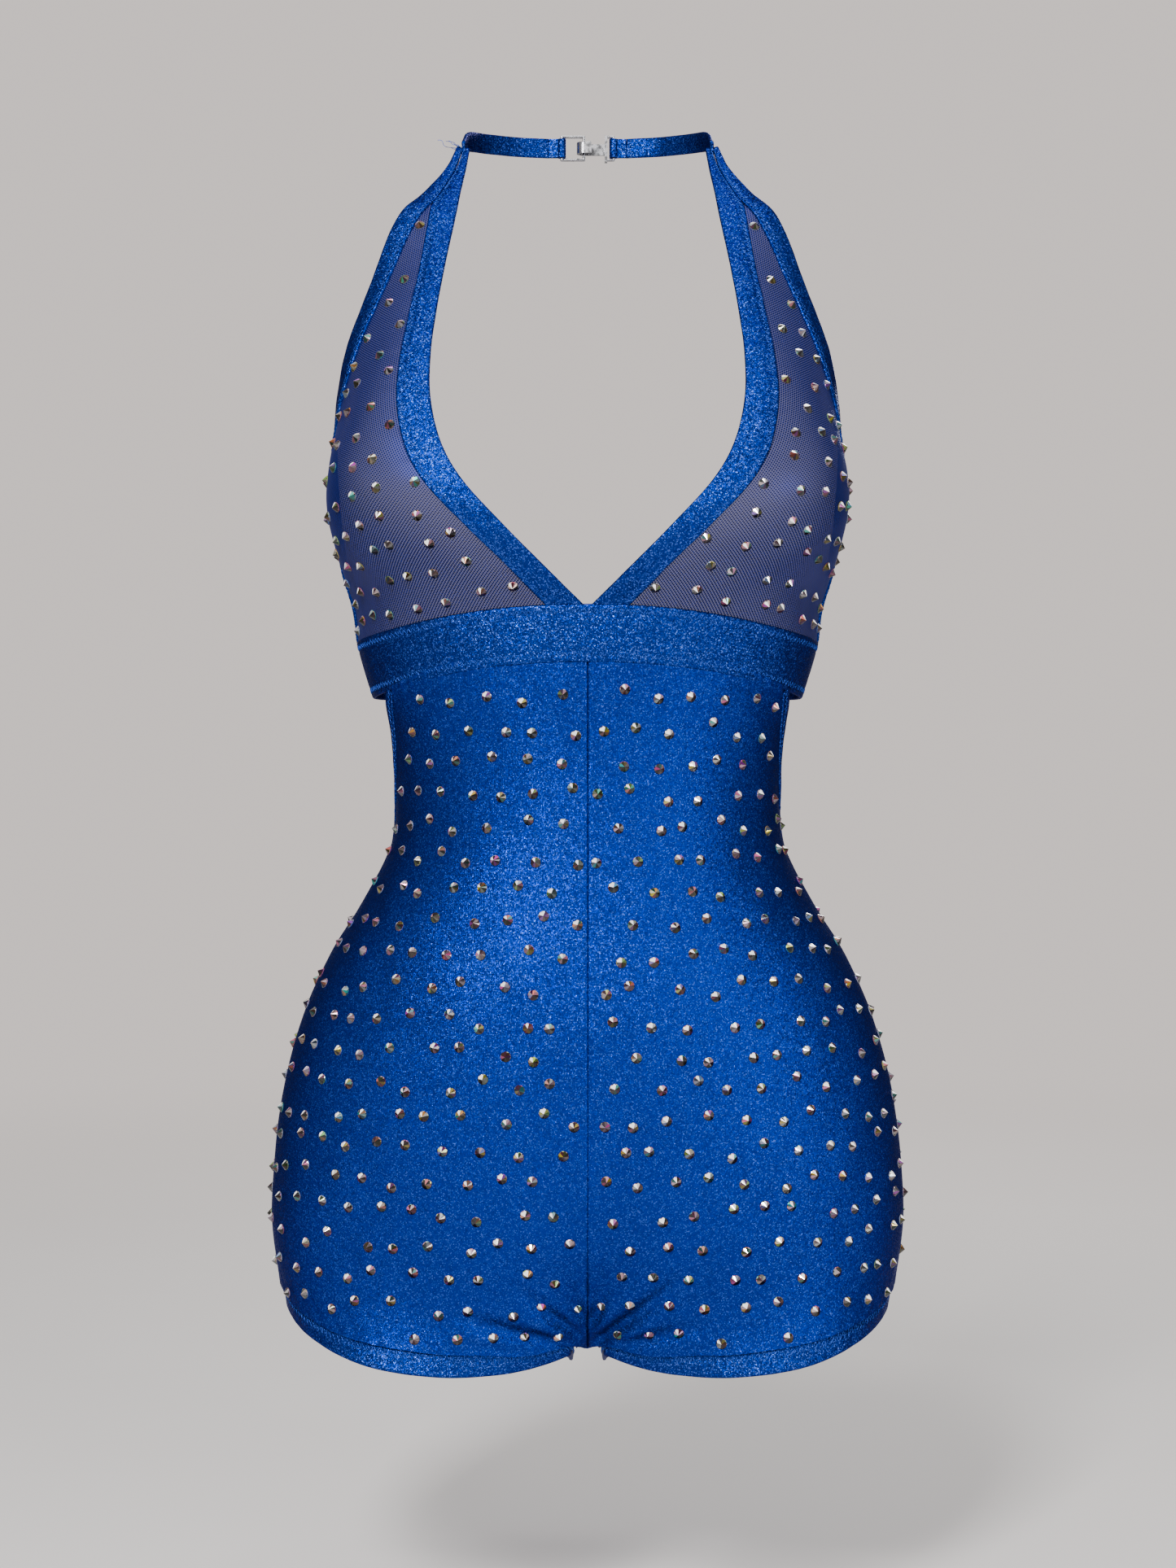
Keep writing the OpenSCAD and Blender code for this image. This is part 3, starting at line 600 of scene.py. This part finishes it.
def panel(node, rows, columns, material, wall=0.9 * MM, seed=1, step=1.9 * MM, start=UP,
          beyond=(0.3, 0.3, 0.3, 0.3), turned=1.0):
    """A wide piece of taut cloth: side seams turned in, puckers at its edges, slow waves.
    It reaches beyond the CAD sheet at its top, foot, first and last column, to lie under
    its neighbours."""
    top, foot, first, last = (b * MM for b in beyond)
    grid = grid_of(node, rows, columns, start)
    tall = np.median(run_along(grid, 0)[-1])
    wide = np.median(run_along(grid, 1)[:, -1])
    row_places = edge_places(rows, int(tall / step), tall / (rows - 1), top, foot)
    column_places = edge_places(columns, int(wide / step), wide / (columns - 1), first, last)
    outer = finer(grid, row_places, column_places)
    out = normals_of(outer)
    across, down = run_along(outer, 1), run_along(outer, 0)
    from_side = np.minimum(across, across[:, -1:] - across)
    from_top, from_foot = down, down[-1:] - down
    seam_first = abs(outer[:, 0, 0].mean()) < abs(outer[:, -1, 0].mean())
    from_seam = across if seam_first else across[:, -1:] - across
    sink = np.maximum(seam_roll(from_seam), 0.35 * seam_roll(from_side)) * turned
    pucker = np.exp(-from_top / (7 * MM)) * waves(across, seed, 9 * MM, 3) * 0.28 * MM
    pucker += np.exp(-from_foot / (8 * MM)) * waves(across, seed + 1, 12 * MM, 3) * 0.3 * MM
    pucker += np.exp(-from_side / (6 * MM)) * waves(down, seed + 2, 14 * MM, 3) * 0.16 * MM
    calm = np.clip(np.minimum(from_side, np.minimum(from_top, from_foot)) / (25 * MM), 0, 1)
    slow = waves(down + 0.4 * across, seed + 3, 95 * MM, 3) * waves(across, seed + 4, 60 * MM, 3)
    drawn_in = fold_depth(outer) * np.clip(from_foot / (8 * MM), 0, 1)
    lift = pucker + slow * calm * 0.45 * MM - sink - drawn_in
    by_middle = np.abs(outer[..., 0]) < 2.5 * MM
    moved = outer + out * lift[..., None]
    moved[..., 0] = np.where(by_middle, outer[..., 0], moved[..., 0])
    return shell(moved, moved - normals_of(moved) * wall, material)


STRIP_OVER = 0.3 * MM         # a strip is this much wider than its CAD sheet on each side


def strip(grid, material, wall, stitches=(), ring=False, seed=1, step=0.9 * MM,
          before=0.5 * MM):
    """A folded band with round edges, sunk and puckered along its stitch rows. Its grid
    runs across the band from row to row, and it starts some way before the first column.
    Returns its outer face and its mesh."""
    count = grid.shape[1]
    long = np.median(run_along(grid, 1)[:, -1])
    wide = np.median(run_along(grid, 0)[-1])
    share = (1 - np.cos(np.linspace(0, math.pi, 17))) / 2
    samples = int(long / step)
    if ring:
        places = np.arange(samples) * count / samples
    else:
        knot_gap = long / (count - 1)
        after = 0.5 * MM
        places = np.linspace(-before / knot_gap, count - 1 + after / knot_gap, samples)
    over = STRIP_OVER / wide
    rows_at = (share * (1 + 2 * over) - over) * (grid.shape[0] - 1)
    flat = finer(grid, rows_at, places, ring)
    out = normals_of(flat, ring)
    across, along = run_along(flat, 0), run_along(flat, 1)
    gap = np.minimum(across, across[-1:] - across)
    near = np.clip(1 - gap / (wall / 2), 0, 1)
    body = np.sqrt(np.maximum(1 - near ** 2, 0))
    top = body * wall / 2
    for place_across, *_ in stitches:
        off = (across - place_across * across[-1:]) / (1.1 * MM)
        dip = np.exp(-off ** 2)
        top = top - dip * (0.3 * MM + 0.16 * MM * waves(along, seed + 3, 6.5 * MM, 3)) * body
    slack = waves(along, seed, 30 * MM, 4) * 0.12 * MM
    middle = flat + out * (slack - wall / 2)[..., None]
    outer = middle + out * top[..., None]
    inner = middle - out * (body * wall / 2)[..., None]
    return outer, shell(outer, inner, material, ring)


def zigzag(outer, place_across, pitch=3.0 * MM, swing=1.15 * MM, radius=0.2 * MM,
           ring=False):
    """A row of zigzag stitches lying on a strip, place_across of the way over it."""
    if ring:
        outer = np.concatenate([outer, outer[:, :1]], axis=1)
    out = normals_of(outer)
    rows = outer.shape[0]
    middle_row = int(round(place_across * (rows - 1)))
    run = run_along(outer[middle_row:middle_row + 1], 1)[0]
    across = run_along(outer, 0)[:, outer.shape[1] // 2]
    count = int(run[-1] / (pitch / 2)) - 1
    at = (np.arange(count + 1) + 0.5) * pitch / 2
    side = place_across * across[-1] + swing * np.where(np.arange(count + 1) % 2, 1, -1)
    f = np.linspace(0, 1, 5)
    run_at = at[:-1, None] * (1 - f) + at[1:, None] * f
    side_at = side[:-1, None] * (1 - f) + side[1:, None] * f
    b = np.interp(run_at, run, np.arange(len(run))).ravel()
    a = np.interp(side_at, across, np.arange(rows)).ravel()
    rise = (np.tile(np.sin(f * math.pi) ** 0.6, count) * 0.26 - 0.08) * MM
    path = read(outer, a, b) + read(out, a, b) * rise[:, None]
    return tube(path.reshape(count, len(f), 3), radius, THREAD)


def make_strip(node, rows, columns, stitches, wall=2 * MM, along_rows=False, ring=False,
               start=UP, material=BAND, seed=1, before=0.5 * MM):
    """A folded band or flat elastic made from its CAD sheet, with its rows of stitches."""
    grid = grid_of(node, rows, columns, start, ring)
    if along_rows:
        grid = grid.transpose(1, 0, 2)
    outer, part = strip(grid, material, wall, stitches, ring, seed, before=before)
    rows_of_thread = [zigzag(outer, place_across, pitch, swing, ring=ring)
                      for place_across, pitch, swing in stitches]
    build(node + "_cloth", [part] + rows_of_thread, node)


SIDES = ("left", "right")

for side in SIDES:
    seed = 20 * SIDES.index(side)
    for kind, rows, columns, beyond in (("front_panel", 25, 14, (8, 0.6, 0.3, 1.8)),
                                        ("back_panel", 18, 16, (1.5, 0.6, 0.3, 0.3))):
        cloth = panel(f"{kind}_{side}", rows, columns, BODY, seed=seed + 3, beyond=beyond)
        cloth_under[kind.split("_")[0], side] = cloth
        build(f"{kind}_{side}_cloth", [cloth], f"{kind}_{side}")
    net = panel(f"mesh_cup_{side}", 23, 13, NET, wall=0.45 * MM, seed=seed + 5,
                beyond=(2, 3, 1.2, 1.2), turned=0)
    cloth_under["cup", side] = net
    build(f"mesh_cup_{side}_net", [net], f"mesh_cup_{side}")
    make_strip(f"neckline_binding_{side}", 37, 3, [(0.82, 2.8 * MM, 1.0 * MM)],
               along_rows=True, seed=seed + 6, before=1.5 * MM)
    make_strip(f"armhole_binding_{side}", 35, 3, [(0.2, 2.8 * MM, 1.0 * MM)],
               along_rows=True, seed=seed + 7, before=1.5 * MM)
    make_strip(f"waist_binding_{side}", 3, 47, [(0.55, 2.8 * MM, 0.9 * MM)], seed=seed + 8,
               before=5 * MM)
    make_strip(f"leg_hem_{side}", 3, 58, [(0.25, 3.2 * MM, 1.3 * MM)], ring=True,
               seed=seed + 9)
    make_strip(f"leg_elastic_{side}", 2, 58, [], wall=0.8 * MM, ring=True,
               material=ELASTIC, seed=seed + 10)
    make_strip(f"neck_strap_{side}", 3, 15, [(0.5, 2.8 * MM, 1.0 * MM)],
               start=np.array([1.0 if side == "left" else -1.0, 0, 0]), seed=seed + 11,
               before=4 * MM)

for node, count in (("underbust_band_front", 35), ("underbust_band_back", 31)):
    make_strip(node, 3, count, [(0.13, 3.0 * MM, 1.25 * MM), (0.85, 3.0 * MM, 1.25 * MM)],
               seed=51)
make_strip("underbust_elastic", 2, 64, [], wall=0.8 * MM, ring=True, material=ELASTIC,
           seed=52)
for node, rows, columns, material, slot in (("crotch_gusset", 13, 11, BODY, "body_lycra"),
                                            ("gusset_lining", 11, 7, LINING, "lining")):
    cloth = panel(node, rows, columns, material, wall=0.55 * MM, step=1.2 * MM, start=FRONT)
    build(node + "_cloth", [cloth], node)


# ---------- Strap loops, clasp and loose ends ----------

def loop_round_bar(side):
    """Strap end folded round its bar and stitched down, read from the CAD loop's box."""
    node = f"neck_loop_{side}"
    low, high = (np.array(v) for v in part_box(node))
    inward = -1 if side == "left" else 1
    bar_x = (high if inward > 0 else low)[0] - inward * (high[1] - low[1]) / 2
    far_x = (low if inward > 0 else high)[0]
    middle_y = (low[1] + high[1]) / 2
    outer_r, inner_r, half = (high[1] - low[1]) / 2, 0.87 * MM, 1.0 * MM
    reach = abs(far_x - bar_x)
    turn = np.radians(np.linspace(28, 332, 40))
    round_part = np.stack([-inward * np.cos(turn), np.sin(turn)], axis=1)
    tail = np.linspace(1, 0, 10)[:, None]
    tail_x = np.array([reach, 0]) * [-inward, 1]
    skins = []
    for radius, offset in ((outer_r, half), (inner_r, 0.03 * MM)):
        arc = round_part * radius
        start = tail * (tail_x + [0, offset]) + (1 - tail) * arc[0]
        end = tail[::-1] * (tail_x - [0, offset]) + (1 - tail[::-1]) * arc[-1]
        skins.append(np.concatenate([start[:-1], arc, end[1:]]))
    heights = low[2] + (high[2] - low[2]) * (1 - np.cos(np.linspace(0, math.pi, 13))) / 2
    grids = []
    for skin in skins:
        grid = np.zeros((len(heights), len(skin), 3))
        grid[..., 0], grid[..., 1] = bar_x + skin[:, 0], middle_y + skin[:, 1]
        grid[..., 2] = heights[:, None]
        grids.append(grid)
    build(node + "_cloth", [shell(grids[0], grids[1], BAND)], node)


for side in SIDES:
    loop_round_bar(side)

for node in ("neck_hook", "neck_ring"):
    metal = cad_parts[node]
    metal.data.materials.clear()
    metal.data.materials.append(METAL)


def loose_threads():
    """Frayed ends where the bindings meet the strap, on the wearer's right."""
    low, high = (np.array(v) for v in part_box("armhole_binding_right"))
    root = np.array([low[0] + 0.985 * (high[0] - low[0]), -3 * MM, high[2] - 1.5 * MM])
    own = np.random.default_rng(5)
    f = np.linspace(0, 1, 14)[:, None]
    paths = []
    for k, reach in enumerate((15, 6, 5, 4.5, 4, 3.5)):
        way = np.array([-1, -0.15, 0.55 + own.uniform(-0.5, 0.2)])
        curl = np.array([0.3, 0.0, -0.35]) * own.uniform(-1, 1)
        start = root + own.uniform(-1, 1, 3) * [1.2 * MM, 0.8 * MM, 2 * MM]
        paths.append(start + (f * way + f ** 2 * curl + 0.06 * np.sin(f * 9 + k)) * reach * MM)
    build("frayed_ends", [tube(np.array(paths), 0.14 * MM, THREAD)])


loose_threads()


# ---------- Crystals ----------

TINTS = np.array([
    (0.92, 0.90, 0.92), (0.95, 0.80, 0.78), (0.85, 0.92, 0.98), (0.92, 0.30, 0.50),
    (0.60, 0.22, 0.70), (0.98, 0.40, 0.28), (0.95, 0.75, 0.25), (0.60, 0.88, 0.35),
    (0.22, 0.80, 0.72), (0.35, 0.50, 0.95), (1.0, 1.0, 1.0), (0.90, 0.58, 0.68)])
TINT_ODDS = np.array([18, 12, 8, 12, 6, 9, 8, 6, 7, 4, 8, 10]) / 108
FACETS = 8


def stone_shape(radius, height, rim=0.42 * MM):
    """Pointed stone: flat back, straight rim, small break facets and eight long ones."""
    turn = 2 * math.pi / FACETS

    def ring(count, r, z, phase=0.0):
        angles = (np.arange(count) + phase) * 2 * math.pi / count
        return np.stack([r * np.cos(angles), r * np.sin(angles), np.full(count, z)], axis=1)
    points = np.concatenate([
        ring(2 * FACETS, radius * 0.96, 0), ring(2 * FACETS, radius, rim),
        ring(FACETS, radius * 0.82, rim + height * 0.2), [[0, 0, rim + height]]])
    foot, edge, knee, tip = 0, 2 * FACETS, 4 * FACETS, 5 * FACETS
    faces = [list(range(2 * FACETS))[::-1]]
    kinds = ["back"]
    for k in range(2 * FACETS):
        n = (k + 1) % (2 * FACETS)
        faces.append([foot + k, foot + n, edge + n, edge + k])
        kinds.append("rim")
    for k in range(FACETS):
        n = (k + 1) % FACETS
        before, at, after = (2 * k - 1) % (2 * FACETS), 2 * k, 2 * k + 1
        faces += [[knee + k, edge + before, edge + at], [knee + k, edge + at, edge + after],
                  [tip, knee + k, edge + after, knee + n]]
        kinds += ["break", "break", "long"]
    return points, faces, kinds


def stone_places(node):
    """Middle of the flat back and direction of the point, for each stone of a CAD node."""
    mesh = joined_mesh(node)
    left, places = set(mesh.verts), []
    for seed_vert in mesh.verts:
        if seed_vert not in left:
            continue
        left.remove(seed_vert)
        found, waiting = [seed_vert], [seed_vert]
        while waiting:
            for edge in waiting.pop().link_edges:
                for v in edge.verts:
                    if v in left:
                        left.remove(v)
                        found.append(v)
                        waiting.append(v)
        points = np.array([v.co for v in found])
        middle = points.mean(0)
        axis = np.linalg.svd(points - middle)[2]
        spread = (points - middle) @ axis.T
        off_round = [abs(spread[:, (k + 1) % 3].std() - spread[:, (k + 2) % 3].std())
                     for k in range(3)]
        way = axis[int(np.argmin(off_round))]
        along = (points - middle) @ way
        if along.max() < -along.min():
            way, along = -way, -along
        places.append((middle + way * along.min(), way))
    mesh.free()
    places.sort(key=lambda p: tuple(np.round(p[0], 5)))
    return places


def light_way(way):
    """Where the light of a stone comes from: its own front, from above and a little left."""
    from_above = way + 0.8 * UP + np.array([-0.3, 0, 0])
    return from_above / np.linalg.norm(from_above)


def facet_tint_and_painted_light(kind, normal, light, main, own, depth):
    """Coating tint and painted light of one facet: a painted white highlight where it faces the
    light, elsewhere the tint with painted shade away from the light, scaled by a random
    painted reflection strength (depth), and a painted glow."""
    if kind in ("back", "rim"):
        # Back and rim: half the main tint with a faint painted glow.
        return (*(0.5 * main), 0.15)
    lit = max(float(normal @ light), 0.0)
    # Painted highlight: a clear white facet where it faces the light.
    if kind == "long" and lit > 0.93 and depth > 0.2:
        return 1.0, 0.97, 0.96, 1.0
    pure = 0.25 * main + 0.75 * own
    pure = np.clip(pure + 0.6 * (pure - pure.mean()), 0.02, 1)
    # Painted shade, darker as the facet turns from the light, times its random painted reflection
    # strength; the fourth value is a painted glow.
    shade = pure * (0.03 + 0.5 * lit ** 1.8) * depth
    return (*np.clip(shade, 0, 1), 0.1 + 0.5 * lit * depth)


def seated(middle, way, cloth):
    """The place on the cloth under a stone."""
    start = Vector(middle + way * 3 * MM)
    hit, _, _, _ = cloth.ray_cast(start, Vector(-way), 12 * MM)
    return middle if hit is None else np.array(hit) - way * 0.08 * MM


def stones(region, side):
    """Every stone of a CAD node, turned at random and given coating tints with painted light
    and shade, facet by facet.
    """
    node = f"crystals_{region}_{side}"
    under = cloth_under[region, side]
    cloth = BVHTree.FromPolygons(under["points"].tolist(), under["faces"].tolist())
    shape, faces, kinds = stone_shape(2.6 * MM, 2.3 * MM)
    points, all_faces, tints_and_painted_light = [], [], []
    for middle, way in stone_places(node):
        aside = np.cross(way, UP + 0.01)
        aside /= np.linalg.norm(aside)
        other = np.cross(way, aside)
        spin = random.uniform(0, 2 * math.pi)
        c, s = math.cos(spin), math.sin(spin)
        basis = np.array([c * aside + s * other, c * other - s * aside, way])
        start = len(points) * len(shape)
        turned = shape @ basis
        points.append(turned + seated(middle, way, cloth))
        all_faces += [[v + start for v in f] for f in faces]
        main = TINTS[random.choice(len(TINTS), p=TINT_ODDS)]
        for face, kind in zip(faces, kinds):
            a, b, d = turned[face[0]], turned[face[1]], turned[face[2]]
            normal = np.cross(b - a, d - a)
            normal /= np.linalg.norm(normal)
            own = TINTS[random.choice(len(TINTS), p=TINT_ODDS)]
            # A random painted reflection strength for each facet, from dark to bright.
            depth = random.choice([0.12, 0.35, 0.8, 1.3])
            tints_and_painted_light.append(facet_tint_and_painted_light(kind, normal, light_way(way), main, own, depth))
    mesh = bpy.data.meshes.new(node + "_cut")
    mesh.from_pydata(np.concatenate(points).tolist(), [], all_faces)
    mesh.materials.append(STONE)
    layer = mesh.attributes.new("tint_and_painted_light", "FLOAT_COLOR", "FACE")
    layer.data.foreach_set("color", np.array(tints_and_painted_light, np.float32).ravel())
    mesh.update()
    put_in_scene(node + "_cut", mesh, node)


for region in ("cup", "front", "back"):
    for side in SIDES:
        stones(region, side)


# ---------- Floor, light and camera ----------

def pale_floor(backdrop, fill):
    """A wide pale floor that fades into the backdrop's own brightness far away."""
    material, tree, surface = new_material("pale_floor")
    where = add(tree, "ShaderNodeTexCoord").outputs["Object"]
    mottle = add(tree, "ShaderNodeTexNoise", {"Vector": where, "Scale": 2.5,
                                              "Detail": 5}).outputs[0]
    colour = mixed(tree, mottle, (0.74, 0.70, 0.68, 1), (0.80, 0.765, 0.745, 1))
    connect(tree, surface, {"Base Color": colour, "Roughness": 0.9})
    away = add(tree, "ShaderNodeVectorMath", {0: where}, operation="LENGTH").outputs["Value"]
    seen = add(tree, "ShaderNodeLightPath").outputs["Is Camera Ray"]
    glow = add(tree, "ShaderNodeEmission", {"Color": mixed(tree, seen, fill, backdrop)})
    blend = add(tree, "ShaderNodeMixShader", {0: remap(tree, away, 0.5, 2.6)})
    tree.links.new(surface.outputs[0], blend.inputs[1])
    tree.links.new(glow.outputs[0], blend.inputs[2])
    tree.links.new(blend.outputs[0], tree.nodes["Material Output"].inputs["Surface"])
    mesh = bpy.data.meshes.new("floor")
    reach, drop = 14.0, -0.12
    mesh.from_pydata([(-reach, -reach, drop), (reach, -reach, drop), (reach, reach, drop),
                      (-reach, reach, drop)], [], [(0, 1, 2, 3)])
    mesh.materials.append(material)
    floor = bpy.data.objects.new("floor", mesh)
    bpy.context.scene.collection.objects.link(floor)


def soft_world(backdrop, fill):
    """Pale behind the object, and dimmer as a source of light."""
    world = bpy.data.worlds.new("studio")
    bpy.context.scene.world = world
    world.use_nodes = True
    tree = world.node_tree
    seen = add(tree, "ShaderNodeLightPath").outputs["Is Camera Ray"]
    tree.links.new(mixed(tree, seen, fill, backdrop), tree.nodes["Background"].inputs[0])


def soft_light(name, location, target, width, height, power, colour=(1, 1, 1)):
    data = bpy.data.lights.new(name, "AREA")
    data.shape, data.size, data.size_y = "RECTANGLE", width, height
    data.energy, data.color = power, colour
    light = bpy.data.objects.new(name, data)
    bpy.context.scene.collection.objects.link(light)
    light.location = location
    way = Vector(target) - Vector(location)
    light.rotation_euler = way.to_track_quat("-Z", "Y").to_euler()


def studio():
    backdrop = (0.88, 0.80, 0.765, 1)
    fill = (0.31, 0.305, 0.305, 1)
    pale_floor(backdrop, fill)
    soft_world(backdrop, fill)
    soft_light("key", (-0.55, -1.7, 1.5), (0, 0, 0.3), 0.4, 0.6, 58)
    soft_light("side", (1.5, -1.5, 0.6), (0, 0, 0.3), 0.3, 1.0, 16, (0.95, 0.97, 1))
    soft_light("top", (0.1, 0.1, 2.0), (0, 0, 0.3), 0.8, 0.6, 10)
    soft_light("back", (0.5, 2.0, 1.3), (0, 0, 0.3), 0.7, 0.9, 20)


def photo_camera():
    """Straight from the front, as far away as the photograph was taken from."""
    distance, height, frame_height = 1.350, 0.3078, 0.8093
    data = bpy.data.cameras.new("camera")
    data.sensor_width = 36
    data.lens = data.sensor_width * distance / frame_height
    data.clip_start, data.clip_end = 0.01, 60
    camera = bpy.data.objects.new("camera", data)
    bpy.context.scene.collection.objects.link(camera)
    camera.location = (0.0002, SHIFT - distance, height)
    camera.rotation_euler = (math.pi / 2, 0, 0)
    bpy.context.scene.camera = camera


studio()
photo_camera()
